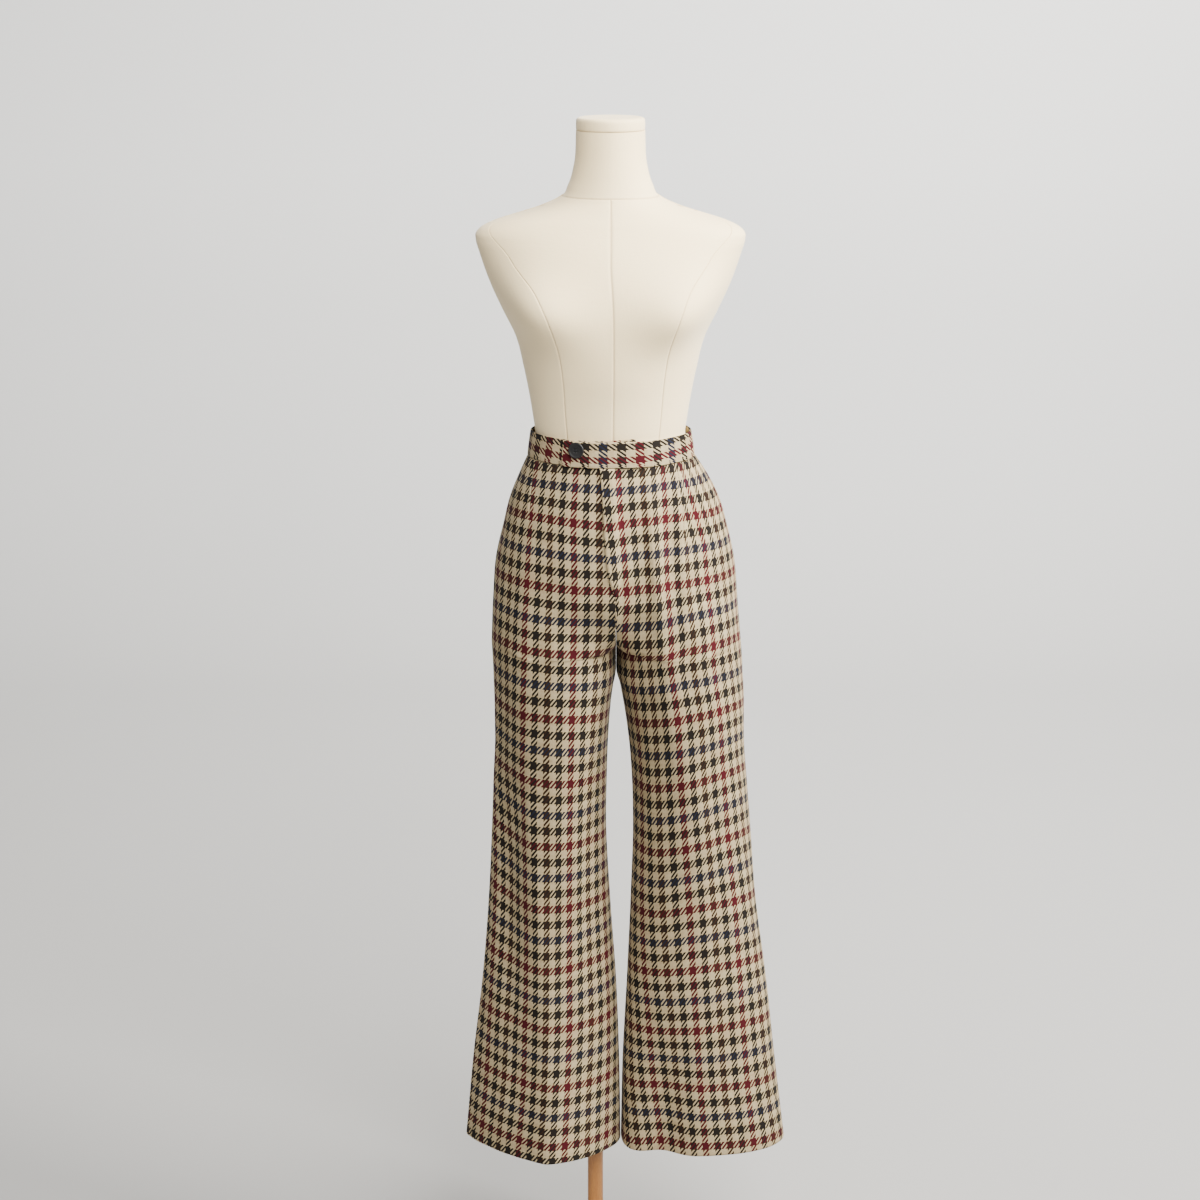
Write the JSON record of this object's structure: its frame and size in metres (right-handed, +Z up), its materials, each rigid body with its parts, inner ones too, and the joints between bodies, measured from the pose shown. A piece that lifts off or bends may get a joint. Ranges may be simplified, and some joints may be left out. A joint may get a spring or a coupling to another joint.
{
  "type": "wide-leg trousers on a dress form",
  "caption": "High-waisted wide-leg trousers in a checked wool tweed, buttoned on a limbless dress form with a wooden pole and round base.",
  "frame": {"origin": "centre of the base's underside, on the floor and on the pole's axis", "axes": "+Z up, -Y the garment's front, +X the wearer's left"},
  "size_m": [0.484, 0.32, 1.768],
  "materials": {
    "checked_tweed": "wool houndstooth tweed, cream ground with black, navy, brown and red threads",
    "button_plastic": "dark moulded button",
    "form_cloth": "ivory cotton stretched over padding",
    "stand_wood": "varnished light wood"
  },
  "bodies": {
    "root": {"front_left": "checked_tweed", "front_right": "checked_tweed", "back_left": "checked_tweed", "back_right": "checked_tweed", "waistband": "checked_tweed", "button": "button_plastic", "dress_form": "form_cloth", "neck_cap": "form_cloth", "stand_pole": "stand_wood", "stand_base": "stand_wood"}
  },
  "joints": []
}
